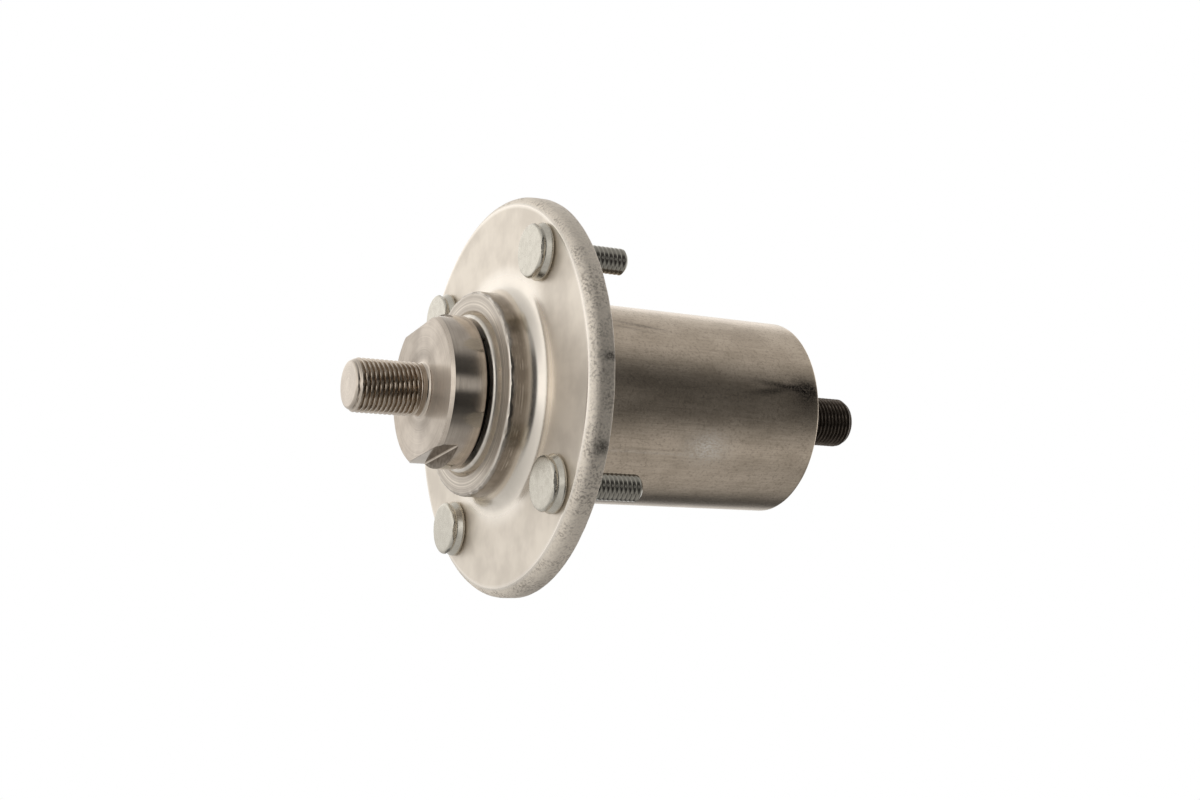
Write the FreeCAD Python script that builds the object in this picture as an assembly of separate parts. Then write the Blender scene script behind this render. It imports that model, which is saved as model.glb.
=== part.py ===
import FreeCAD, Part
import math
import os

# Mower deck spindle: a cast flanged housing, a turned shaft with the blade hub in one piece with it,
# two sealed deep groove ball bearings, the spacer between them and four flange bolts.
# Millimetres. The shaft's axis is Z, the pulley end is up and the blade end is down.
# The origin is the centre of the flange's upper face, which seats against the underside of the deck.

# Housing: flange, the neck below it towards the blade and the tube above it towards the pulley
FLANGE_D = 120.0
FLANGE_T = 7.0
FLANGE_EDGE_W = 2.7
FLANGE_EDGE_DROP = 1.2
FLANGE_LOWER_ROUND = 3.9
FLANGE_UPPER_ROUND = 0.5
NECK_D = 61.0
NECK_H = 10.3
NECK_FILLET = 4.3
NECK_EDGE_ROUND = 0.6
TUBE_ROOT_D = 61.8
TUBE_END_D = 61.2
TUBE_L = 89.0
TUBE_FILLET = 1.5
TUBE_EDGE_ROUND = 0.6
GREASE_BORE_D = 41.0
MOUTH_CHAMFER = 1.2

# Ball bearings, two of one size: the lower one stands a little out of the neck, the upper one is set in
BEARING_BORE_D = 20.0
BEARING_D = 47.0
BEARING_W = 14.0
LOWER_BEARING_PROUD = 1.8
UPPER_BEARING_INSET = 0.3
RACE_ROUND = 1.0
BALL_D = 7.94
BALL_COUNT = 8
BALL_GAP = 0.15
OUTER_LAND_D = 38.4
INNER_LAND_D = 28.8

# Rubber seals, two in each bearing: held in the outer race, with a lip that runs on the inner race
SEAL_SEAT_D = 41.2
SEAL_TRACK_D = 26.8
SEAL_T = 1.2
SEAL_INSET = 0.4
SEAL_WEB_T = 0.7
SEAL_RIM_W = 1.3
SEAL_LIP_GAP = 0.15

# Bearing cages: two pressed halves round the balls, riveted together between them
CAGE_T = 0.7
CAGE_W = 2.6
POCKET_GAP = 0.2
RIVET_D = 1.5
RIVET_HEAD_D = 2.4
RIVET_HEAD_H = 0.5

# Shaft: the blade thread and the neck behind it, the hub with its wrench flats, the journal, the pulley end
BLADE_THREAD_D = 15.875
BLADE_THREAD_L = 22.4
SHANK_NECK_D = 14.9
SHANK_NECK_L = 2.2
SHANK_FILLET = 1.2
HUB_D = 45.5
HUB_L = 10.8
HUB_GAP = 3.5
HUB_CHAMFER = 1.0
HUB_BACK_CHAMFER = 0.2
HUB_ACROSS_FLATS = 38.1
HUB_FLAT_L = 5.6
SHOULDER_D = 26.0
JOURNAL_STEP = 0.5
PULLEY_THREAD_D = 15.875
PULLEY_END_L = 31.0
TIP_CHAMFER = 1.15
TIP_CHAMFER_L = 2.0
TIP_ROUND = 0.8

# Spacer tube between the two inner races
SPACER_D = 26.0
SPACER_BORE_GAP = 0.15

# Flange bolts: round heads with six short flats on the blade side, a plain neck in the flange,
# threads up through the deck
BOLT_COUNT = 4
BOLT_CIRCLE_D = 96.0
BOLT_FIRST_DEG = 45.0
BOLT_NECK_D = 8.5
BOLT_THREAD_D = 7.9
BOLT_HOLE_GAP = 0.13
BOLT_REACH = 19.4
BOLT_TIP_CHAMFER = 0.9
BOLT_HEAD_H = 4.4
BOLT_HEAD_D = 15.9
BOLT_HEAD_T = 1.5
BOLT_HEAD_EDGE = 0.7
BOLT_HEAD_BEVEL = 0.6
BOLT_ACROSS_FLATS = 14.8
BOLT_WAIST_D = 14.6
BOLT_WASHER_D = 16.8
BOLT_WASHER_RIM_H = 1.2
BOLT_WASHER_FOOT = 0.7

# Levels along the axis
FACE_Z = -FLANGE_T
MOUTH_Z = FACE_Z - NECK_H
TUBE_END_Z = TUBE_L
LOWER_BEARING_Z = MOUTH_Z - LOWER_BEARING_PROUD + BEARING_W / 2
UPPER_BEARING_Z = TUBE_END_Z - UPPER_BEARING_INSET - BEARING_W / 2
LOWER_SEAT_Z = LOWER_BEARING_Z + BEARING_W / 2
UPPER_SEAT_Z = UPPER_BEARING_Z - BEARING_W / 2
HUB_UPPER_Z = MOUTH_Z - HUB_GAP
HUB_LOWER_Z = HUB_UPPER_Z - HUB_L
BLADE_TIP_Z = HUB_LOWER_Z - BLADE_THREAD_L
JOURNAL_TOP_Z = UPPER_BEARING_Z + BEARING_W / 2 - JOURNAL_STEP
PULLEY_TIP_Z = TUBE_END_Z + PULLEY_END_L

# Radii that several pieces share
SEAT_R = BEARING_D / 2
BORE_R = BEARING_BORE_D / 2
PITCH_R = (BEARING_BORE_D + BEARING_D) / 4
BALL_R = BALL_D / 2
GROOVE_R = BALL_R + BALL_GAP
SEAL_SEAT_DEPTH = SEAL_INSET + SEAL_T
LIP_R = SEAL_TRACK_D / 2 + SEAL_LIP_GAP
POCKET_R = BALL_R + POCKET_GAP
BOLT_HOLE_R = BOLT_NECK_D / 2 + BOLT_HOLE_GAP

V = FreeCAD.Vector
ORIGIN = V(0, 0, 0)
UP = V(0, 0, 1)


def outline(corners):
    """Closed wire in the X-Z half plane from (radius, height) corners; a third value rounds the corner."""
    points = [V(corner[0], 0, corner[1]) for corner in corners]
    count = len(points)
    arrive, leave, arcs = [], [], []
    for index, corner in enumerate(corners):
        point = points[index]
        radius = corner[2] if len(corner) > 2 else 0.0
        if radius <= 0.0:
            arrive.append(point)
            leave.append(point)
            arcs.append(None)
            continue
        back = (points[index - 1] - point).normalize()
        ahead = (points[(index + 1) % count] - point).normalize()
        half = back.getAngle(ahead) / 2
        run = radius / math.tan(half)
        middle = point + (back + ahead).normalize() * (radius / math.sin(half) - radius)
        start = point + back * run
        end = point + ahead * run
        arrive.append(start)
        leave.append(end)
        arcs.append(Part.Arc(start, middle, end).toShape())
    edges = []
    for index in range(count):
        if arcs[index] is not None:
            edges.append(arcs[index])
        following = (index + 1) % count
        edges.append(Part.LineSegment(leave[index], arrive[following]).toShape())
    return Part.Wire(edges)


def turned(corners):
    """Solid of revolution about Z of a closed outline."""
    return Part.Face(outline(corners)).revolve(ORIGIN, UP, 360)


def cylinder(radius, low, high):
    """Upright cylinder on the axis between two levels."""
    return Part.makeCylinder(radius, high - low, V(0, 0, low), UP)


def at(shape, level):
    """Copy of a shape moved along the axis."""
    return shape.translated(V(0, 0, level))


def around(shape, count, first_deg):
    """Copies of a shape in even steps about the axis."""
    step = 360.0 / count
    copies = []
    for index in range(count):
        copy = shape.copy()
        copy.rotate(ORIGIN, UP, first_deg + index * step)
        copies.append(copy)
    return copies


def on_bolt_circle(shape):
    """Copies of a shape at the bolts' centres, all facing one way."""
    arm = V(BOLT_CIRCLE_D / 2, 0, 0)
    turns = [FreeCAD.Rotation(UP, BOLT_FIRST_DEG + index * 360.0 / BOLT_COUNT) for index in range(BOLT_COUNT)]
    return [shape.translated(turn.multVec(arm)) for turn in turns]


def spindle_housing():
    """Cast housing: flange, neck and tube in one piece, with a seat at each end and drilled bolt holes."""
    neck_r = NECK_D / 2
    flange_r = FLANGE_D / 2
    mouth_r = SEAT_R + MOUTH_CHAMFER
    body = turned([
        (mouth_r, MOUTH_Z),
        (neck_r, MOUTH_Z, NECK_EDGE_ROUND),
        (neck_r, FACE_Z, NECK_FILLET),
        (flange_r - FLANGE_EDGE_W, FACE_Z),
        (flange_r, FACE_Z + FLANGE_EDGE_DROP, FLANGE_LOWER_ROUND),
        (flange_r, 0.0, FLANGE_UPPER_ROUND),
        (TUBE_ROOT_D / 2, 0.0, TUBE_FILLET),
        (TUBE_END_D / 2, TUBE_END_Z, TUBE_EDGE_ROUND),
        (mouth_r, TUBE_END_Z),
        (SEAT_R, TUBE_END_Z - MOUTH_CHAMFER),
        (SEAT_R, UPPER_SEAT_Z),
        (GREASE_BORE_D / 2, UPPER_SEAT_Z),
        (GREASE_BORE_D / 2, LOWER_SEAT_Z),
        (SEAT_R, LOWER_SEAT_Z),
        (SEAT_R, MOUTH_Z + MOUTH_CHAMFER),
    ])
    hole = cylinder(BOLT_HOLE_R, FACE_Z - BOLT_HEAD_H, BOLT_HEAD_H)
    return body.cut(on_bolt_circle(hole))


def spindle_shaft():
    """Turned shaft: blade thread, hub with two wrench flats, journal for both bearings, pulley thread."""
    blade_r = BLADE_THREAD_D / 2
    neck_r = SHANK_NECK_D / 2
    neck_z = HUB_LOWER_Z - SHANK_NECK_L
    pulley_r = PULLEY_THREAD_D / 2
    hub_r = HUB_D / 2
    shoulder_z = LOWER_BEARING_Z - BEARING_W / 2
    body = turned([
        (0.0, BLADE_TIP_Z),
        (blade_r - TIP_CHAMFER, BLADE_TIP_Z, TIP_ROUND),
        (blade_r, BLADE_TIP_Z + TIP_CHAMFER_L),
        (blade_r, neck_z - (blade_r - neck_r)),
        (neck_r, neck_z),
        (neck_r, HUB_LOWER_Z, SHANK_FILLET),
        (hub_r - HUB_CHAMFER, HUB_LOWER_Z),
        (hub_r, HUB_LOWER_Z + HUB_CHAMFER),
        (hub_r, HUB_UPPER_Z - HUB_BACK_CHAMFER),
        (hub_r - HUB_BACK_CHAMFER, HUB_UPPER_Z),
        (SHOULDER_D / 2, HUB_UPPER_Z),
        (SHOULDER_D / 2, shoulder_z),
        (BORE_R, shoulder_z),
        (BORE_R, JOURNAL_TOP_Z),
        (pulley_r, JOURNAL_TOP_Z),
        (pulley_r, PULLEY_TIP_Z - TIP_CHAMFER_L),
        (pulley_r - TIP_CHAMFER, PULLEY_TIP_Z, TIP_ROUND),
        (0.0, PULLEY_TIP_Z),
    ])
    flat = Part.makeBox(HUB_D, 2 * HUB_D, HUB_FLAT_L)
    flat.translate(V(HUB_ACROSS_FLATS / 2, -HUB_D, HUB_LOWER_Z))
    return body.cut(around(flat, 2, 0.0))


def bearing_spacer():
    """Tube on the journal that keeps the inner races apart when the pulley nut is tightened."""
    tube = cylinder(SPACER_D / 2, LOWER_SEAT_Z, UPPER_SEAT_Z)
    return tube.cut(cylinder(BORE_R + SPACER_BORE_GAP, LOWER_SEAT_Z, UPPER_SEAT_Z))


def ball_track():
    """Torus that both races are grooved with, about the bearing's middle."""
    return Part.makeTorus(PITCH_R, GROOVE_R)


def outer_race():
    """Outer race about its middle: ball groove inside, a seal seat at each face."""
    half = BEARING_W / 2
    shelf = half - SEAL_SEAT_DEPTH
    ring = turned([
        (SEAT_R, -half, RACE_ROUND),
        (SEAT_R, half, RACE_ROUND),
        (SEAL_SEAT_D / 2, half),
        (SEAL_SEAT_D / 2, shelf),
        (OUTER_LAND_D / 2, shelf),
        (OUTER_LAND_D / 2, -shelf),
        (SEAL_SEAT_D / 2, -shelf),
        (SEAL_SEAT_D / 2, -half),
    ])
    return ring.cut(ball_track())


def inner_race():
    """Inner race about its middle: ball groove outside, a turned-down track for each seal's lip."""
    half = BEARING_W / 2
    shelf = half - SEAL_SEAT_DEPTH
    ring = turned([
        (BORE_R, -half, RACE_ROUND),
        (SEAL_TRACK_D / 2, -half),
        (SEAL_TRACK_D / 2, -shelf),
        (INNER_LAND_D / 2, -shelf),
        (INNER_LAND_D / 2, shelf),
        (SEAL_TRACK_D / 2, shelf),
        (SEAL_TRACK_D / 2, half),
        (BORE_R, half, RACE_ROUND),
    ])
    return ring.cut(ball_track())


def upper_side_seal():
    """Seal of a bearing's upper face, about the bearing's middle: a thick rim, a thinner web and a lip."""
    top = BEARING_W / 2 - SEAL_INSET
    low = top - SEAL_T
    rim_r = SEAL_SEAT_D / 2
    web = low + SEAL_WEB_T
    return turned([
        (LIP_R, low),
        (rim_r, low),
        (rim_r, top),
        (rim_r - SEAL_RIM_W, top),
        (rim_r - SEAL_RIM_W - (top - web), web),
        (LIP_R + SEAL_RIM_W, web),
        (LIP_R + SEAL_RIM_W / 2, top),
        (LIP_R, top),
    ])


def lower_side_seal():
    """The same seal turned over for the bearing's lower face."""
    seal = upper_side_seal()
    seal.rotate(ORIGIN, V(1, 0, 0), 180)
    return seal


def pitch_point(shape):
    """Copy of a shape moved out to the ball circle."""
    return shape.translated(V(PITCH_R, 0, 0))


def bearing_balls():
    """Balls of one bearing, about its middle."""
    return Part.makeCompound(around(pitch_point(Part.makeSphere(BALL_R)), BALL_COUNT, 0.0))


def cage_half():
    """Upper half of a pressed cage: a flat ribbon with a domed pocket over each ball, rivet holes between."""
    inner_r = PITCH_R - CAGE_W / 2
    outer_r = PITCH_R + CAGE_W / 2
    dome_r = POCKET_R + CAGE_T
    ribbon = cylinder(outer_r, 0.0, CAGE_T).cut(cylinder(inner_r, 0.0, CAGE_T))
    band = cylinder(outer_r, 0.0, 2 * dome_r).cut(cylinder(inner_r, 0.0, 2 * dome_r))
    dome = pitch_point(Part.makeSphere(dome_r)).common(band)
    half = ribbon.fuse(around(dome, BALL_COUNT, 0.0))
    pocket = pitch_point(Part.makeSphere(POCKET_R))
    half = half.cut(around(pocket, BALL_COUNT, 0.0))
    hole = pitch_point(cylinder(RIVET_D / 2, -CAGE_T, 2 * CAGE_T))
    half = half.cut(around(hole, BALL_COUNT, 180.0 / BALL_COUNT))
    return half.removeSplitter()


def other_cage_half():
    """Lower half of the cage: the same pressing turned over."""
    half = cage_half()
    half.rotate(ORIGIN, V(1, 0, 0), 180)
    return half


def cage_rivets():
    """Rivets of one cage, with a flat head on each half."""
    shank_r = RIVET_D / 2
    head_r = RIVET_HEAD_D / 2
    outer = CAGE_T + RIVET_HEAD_H
    rivet = turned([
        (0.0, -outer),
        (head_r, -outer),
        (head_r, -CAGE_T),
        (shank_r, -CAGE_T),
        (shank_r, CAGE_T),
        (head_r, CAGE_T),
        (head_r, outer),
        (0.0, outer),
    ])
    return Part.makeCompound(around(pitch_point(rivet), BALL_COUNT, 180.0 / BALL_COUNT))


def flange_bolt():
    """One bolt on the axis: head with six flats, waist, washer, neck in the hole and thread above it."""
    neck_r = BOLT_NECK_D / 2
    thread_r = BOLT_THREAD_D / 2
    head_r = BOLT_HEAD_D / 2
    washer_r = BOLT_WASHER_D / 2
    end_z = FACE_Z - BOLT_HEAD_H
    waist_z = end_z + BOLT_HEAD_T
    blank = turned([
        (0.0, end_z),
        (head_r, end_z, BOLT_HEAD_EDGE),
        (head_r, waist_z - BOLT_HEAD_BEVEL),
        (BOLT_WAIST_D / 2, waist_z),
        (washer_r, FACE_Z - BOLT_WASHER_RIM_H),
        (washer_r, FACE_Z - BOLT_WASHER_FOOT),
        (washer_r - BOLT_WASHER_FOOT, FACE_Z),
        (neck_r, FACE_Z),
        (neck_r, 0.0),
        (thread_r, 0.0),
        (thread_r, BOLT_REACH - BOLT_TIP_CHAMFER),
        (thread_r - BOLT_TIP_CHAMFER, BOLT_REACH),
        (0.0, BOLT_REACH),
    ])
    flat = Part.makeBox(head_r, 2 * head_r, BOLT_HEAD_T)
    flat.translate(V(BOLT_ACROSS_FLATS / 2, -head_r, end_z))
    return blank.cut(around(flat, 6, 30.0))


def mounting_bolts():
    """The four bolts of the flange."""
    return Part.makeCompound(on_bolt_circle(flange_bolt()))


def bearing(side, level):
    """Nodes of one bearing, by name, with its middle at a level."""
    pieces = {
        "bearing_outer_race": outer_race(),
        "bearing_inner_race": inner_race(),
        "bearing_top_seal": upper_side_seal(),
        "bearing_bottom_seal": lower_side_seal(),
        "bearing_balls": bearing_balls(),
        "cage_top_half": cage_half(),
        "cage_bottom_half": other_cage_half(),
        "cage_rivets": cage_rivets(),
    }
    return {side + "_" + name: at(shape, level) for name, shape in pieces.items()}


def nodes():
    """Every node of the spindle, by name."""
    found = {
        "spindle_housing": spindle_housing(),
        "mounting_bolts": mounting_bolts(),
        "spindle_shaft": spindle_shaft(),
        "bearing_spacer": bearing_spacer(),
    }
    found.update(bearing("lower", LOWER_BEARING_Z))
    found.update(bearing("upper", UPPER_BEARING_Z))
    return found


os.makedirs("parts", exist_ok=True)
for node_name, node_shape in nodes().items():
    node_shape.exportStep(os.path.join("parts", node_name + ".step"))
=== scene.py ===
"""Looks of a mower deck spindle: cast housing, turned shaft, flange bolts and two sealed ball bearings.

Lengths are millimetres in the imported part's frame, with +Z along the shaft towards the pulley end.
They become metres where a skin is put into a mesh. Every shape is a grid of points: rows follow an
outline in the plane of radius and level, and columns go round an axis.
"""
import functools
import itertools
import logging
import math
from dataclasses import dataclass, field
from enum import Enum
from typing import Sequence

import bpy
import numpy as np
from mathutils import Matrix, Vector


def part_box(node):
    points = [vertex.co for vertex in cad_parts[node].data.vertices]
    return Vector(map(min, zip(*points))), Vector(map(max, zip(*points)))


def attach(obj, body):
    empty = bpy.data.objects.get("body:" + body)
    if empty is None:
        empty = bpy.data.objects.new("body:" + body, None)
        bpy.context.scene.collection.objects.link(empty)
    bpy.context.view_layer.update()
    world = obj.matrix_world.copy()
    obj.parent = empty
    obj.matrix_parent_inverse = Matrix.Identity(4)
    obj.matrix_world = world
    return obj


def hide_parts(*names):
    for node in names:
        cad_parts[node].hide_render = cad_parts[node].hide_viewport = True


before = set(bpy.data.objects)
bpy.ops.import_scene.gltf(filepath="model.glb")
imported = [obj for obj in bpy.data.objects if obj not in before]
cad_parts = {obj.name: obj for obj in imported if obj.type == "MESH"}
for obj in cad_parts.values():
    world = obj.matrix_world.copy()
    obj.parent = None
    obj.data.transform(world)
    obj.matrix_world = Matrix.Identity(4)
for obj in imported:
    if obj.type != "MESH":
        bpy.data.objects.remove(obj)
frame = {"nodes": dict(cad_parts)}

LOG = logging.getLogger("spindle")
MM = 0.001
TAU = 2.0 * math.pi
ARC_STEP_DEG = 11.0
LEAST_ARC_POINTS = 5
LEAST_COS = 1e-6
PLAIN_SHARP_DEG = 30.0
HASH_PRIMES = np.array([73856093, 19349663, 83492791])
SEED_PRIME = 26544357
MIX_PRIME = 1274126177
WORD = 0xFFFFFFFF
HALF_WORD = 0xFFFF

Colour = tuple[float, float, float, float]
# Two values that a smooth step runs between
Fade = tuple[float, float]
# Range of a value, then what the range's two ends become
Span = tuple[float, float, float, float]
# Steps of a value from -1 to 1, each with a brightness
Ramp = tuple[tuple[float, float], ...]


class Trait(Enum):
    """Values painted on the points of a skin, which its finish reads."""

    TUBE = "tube"
    RIM = "rim"
    NECK = "neck"
    FILLET = "fillet"
    FACED = "faced"
    EDGE = "edge"
    # Soot; on the housing it also carries painted shade, darker strips where the part reflects the dark room
    # in front.
    SOOT = "soot"
    SCUFF = "scuff"
    GROOVE = "groove"
    STAIN = "stain"


class Relief(Enum):
    """Noise fields of the cast skin, each with the seed that picks it."""

    GRAIN = 1
    DENTS = 2
    WAVES = 3
    RAGGED = 4
    BREAKS = 5


class Side(Enum):
    """The two bearings, by the end of the housing that holds them."""

    LOWER = "lower"
    UPPER = "upper"


@dataclass(frozen=True)
class Corner:
    """Corner of an outline: its radius and level, its rounding and the longest step of the run after it."""

    radius: float
    level: float
    rounding: float = 0.0
    step: float = 1.0


def arc(before: complex, corner: complex, after: complex, rounding: float) -> np.ndarray:
    """Round a corner with the arc that touches both of its runs.

    The centre lies on the bisector at rounding / sin(half angle), and the arc sweeps from the point of
    touch on the first run to the one on the second.

    Args:
        before: Previous corner, radius as the real part and level as the imaginary part.
        corner: The corner itself.
        after: Next corner.
        rounding: Radius of the arc.

    Returns:
        Points of the arc as complex numbers, or the corner alone where it isn't rounded.
    """
    if rounding <= 0.0:
        return np.array([corner])
    back = (before - corner) / abs(before - corner)
    ahead = (after - corner) / abs(after - corner)
    half = abs(np.angle(ahead / back)) / 2.0
    bisector = (back + ahead) / abs(back + ahead)
    centre = corner + bisector * rounding / math.sin(half)
    start = corner + back * rounding / math.tan(half) - centre
    end = corner + ahead * rounding / math.tan(half) - centre
    sweep = np.angle(end / start)
    count = max(LEAST_ARC_POINTS, int(abs(sweep) / math.radians(ARC_STEP_DEG)) + 2)
    return centre + start * np.exp(1j * sweep * np.linspace(0.0, 1.0, count))


def trace(corners: Sequence[Corner], closed: bool) -> np.ndarray:
    """Follow an outline through its rounded corners, with each straight run divided evenly.

    Args:
        corners: Corners in order, so that the material lies to the left of the way.
        closed: Whether the last corner runs on to the first.

    Returns:
        Radius and level of each point, one row each.
    """
    spots = [complex(corner.radius, corner.level) for corner in corners]
    count = len(corners)
    arcs = []
    for index, corner in enumerate(corners):
        inner = closed or 0 < index < count - 1
        rounding = corner.rounding if inner else 0.0
        arcs.append(arc(spots[index - 1], spots[index], spots[(index + 1) % count], rounding))
    pieces = []
    for index, corner in enumerate(corners):
        pieces.append(arcs[index])
        if not closed and index == count - 1:
            break
        start, end = arcs[index][-1], arcs[(index + 1) % count][0]
        parts = max(1, math.ceil(abs(end - start) / corner.step))
        pieces.append(start + (end - start) * np.arange(1, parts) / parts)
    way = np.concatenate(pieces)
    return np.stack([way.real, way.imag], axis=1)


def smooth(low: float, high: float, values: np.ndarray) -> np.ndarray:
    """Smooth step: 0 below low, 1 above high and 3t² - 2t³ between."""
    part = np.clip((values - low) / (high - low), 0.0, 1.0)
    return part * part * (3.0 - 2.0 * part)


def lattice_noise(points: np.ndarray, cell: float, relief: Relief) -> np.ndarray:
    """Smooth random field between 0 and 1.

    A cubic lattice has a hashed value at each corner. A point takes the sum of its cell's eight corner
    values, each weighted by the product of the smooth steps of its place in the cell.

    Args:
        points: Array of places, three values along the last axis.
        cell: Size of a lattice cell.
        relief: Which of the skin's fields it is.

    Returns:
        Field value at each point.
    """
    scaled = points / cell
    base = np.floor(scaled).astype(np.int64)
    part = scaled - base
    part = part * part * (3.0 - 2.0 * part)
    total = np.zeros(points.shape[:-1])
    for corner in itertools.product((0, 1), repeat=3):
        offset = np.array(corner)
        mixed = np.bitwise_xor.reduce((base + offset) * HASH_PRIMES, axis=-1) ^ (relief.value * SEED_PRIME)
        mixed = ((mixed ^ (mixed >> 13)) * MIX_PRIME) & WORD
        value = ((mixed ^ (mixed >> 15)) & HALF_WORD) / HALF_WORD
        total += value * np.prod(np.where(offset == 1, part, 1.0 - part), axis=-1)
    return total


def turned(radius: np.ndarray, level: np.ndarray, angle: np.ndarray) -> np.ndarray:
    """Grid of points with x = radius cos(angle), y = radius sin(angle) and z = level."""
    return np.stack([radius * np.cos(angle), radius * np.sin(angle), level + 0.0 * angle], axis=-1)


@dataclass
class Skin:
    """Closed surface: points in mm and the faces over them."""

    points: np.ndarray
    quads: np.ndarray
    fans: np.ndarray

    @classmethod
    def over(cls, grid: np.ndarray, ring: bool) -> "Skin":
        """Join a grid into a closed surface whose faces point outwards.

        Columns always meet round the axis. In a ring the last row meets the first. Otherwise each end row
        closes in a fan on a pole at its middle.

        Args:
            grid: Rows x columns x 3 points, with rows going up on the outside.
            ring: Whether the rows close on themselves.

        Returns:
            The surface.
        """
        rows, columns = grid.shape[:2]
        index = np.arange(rows * columns).reshape(rows, columns)
        onward = np.roll(index, -1, axis=1)
        following = np.roll(index, -1, axis=0)
        following_on = np.roll(onward, -1, axis=0)
        quads = np.stack([index, onward, following_on, following], axis=-1)
        points = grid.reshape(-1, 3)
        if ring:
            return cls(points, quads.reshape(-1, 4), np.zeros((0, 3), int))
        low = np.full(columns, rows * columns)
        fans = np.concatenate([
            np.stack([onward[0], index[0], low], axis=-1),
            np.stack([index[-1], onward[-1], low + 1], axis=-1),
        ])
        points = np.concatenate([points, grid[:1].mean(axis=1), grid[-1:].mean(axis=1)])
        return cls(points, quads[:-1].reshape(-1, 4), fans)

    def spread(self, centres: np.ndarray, turns_deg: Sequence[float]) -> "Skin":
        """Copies of the surface, each turned about its own axis and then moved to its centre.

        Args:
            centres: Place of each copy across the axis, two values each.
            turns_deg: Turn of each copy.

        Returns:
            All the copies as one surface.
        """
        turn = np.radians(np.asarray(turns_deg))[:, None]
        x, y, z = self.points.T
        points = np.stack([
            x * np.cos(turn) - y * np.sin(turn) + centres[:, :1],
            x * np.sin(turn) + y * np.cos(turn) + centres[:, 1:],
            z + 0.0 * turn,
        ], axis=-1).reshape(-1, 3)
        shift = (np.arange(len(centres)) * len(self.points))[:, None, None]
        return Skin(points, (self.quads + shift).reshape(-1, 4), (self.fans + shift).reshape(-1, 3))

    def piece(self, name: str, sharp_deg: float) -> bpy.types.Object:
        """Put the surface into a new object.

        Args:
            name: Name of the object and its mesh.
            sharp_deg: Edges with a larger turn than this stay sharp.

        Returns:
            The object, at the origin.
        """
        mesh = bpy.data.meshes.new(name)
        mesh.from_pydata((self.points * MM).tolist(), [], self.quads.tolist() + self.fans.tolist())
        piece = bpy.data.objects.new(name, mesh)
        bpy.context.scene.collection.objects.link(piece)
        shade(piece, sharp_deg)
        return piece


def shade(piece: bpy.types.Object, sharp_deg: float) -> None:
    """Shade a piece smooth, except across edges that turn by more than an angle."""
    piece.data.shade_smooth()
    piece.data.set_sharp_from_angle(angle=math.radians(sharp_deg))


def places(piece: bpy.types.Object) -> np.ndarray:
    """Points of a piece's mesh.

    Args:
        piece: The piece.

    Returns:
        Places in mm, one row for each point.
    """
    flat = np.zeros(len(piece.data.vertices) * 3)
    piece.data.vertices.foreach_get("co", flat)
    return flat.reshape(-1, 3) / MM


def paint(piece: bpy.types.Object, trait: Trait, values: np.ndarray) -> None:
    """Store one value per point of a piece for its finish to read."""
    layer = piece.data.attributes.new(trait.value, "FLOAT", "POINT")
    layer.data.foreach_set("value", np.clip(values, 0.0, 1.0).astype(np.float32).ravel())


class Grain(Enum):
    """How a finish's noise lies: in clouds, or in rings about the axis."""

    CLOUDS = "clouds"
    RINGS = "rings"


@dataclass(frozen=True)
class Pattern:
    """Noise of a finish: the size of its spots in mm, its octaves, its place in the noise and its contrast.

    Clouds are drawn out along the axis by a factor. The span says which part of the noise shows.
    """

    size: float
    octaves: float = 4.0
    shift: float = 0.0
    drawn_out: float = 1.0
    span: Span = (0.0, 1.0, 0.0, 1.0)
    grain: Grain = Grain.CLOUDS


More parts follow.
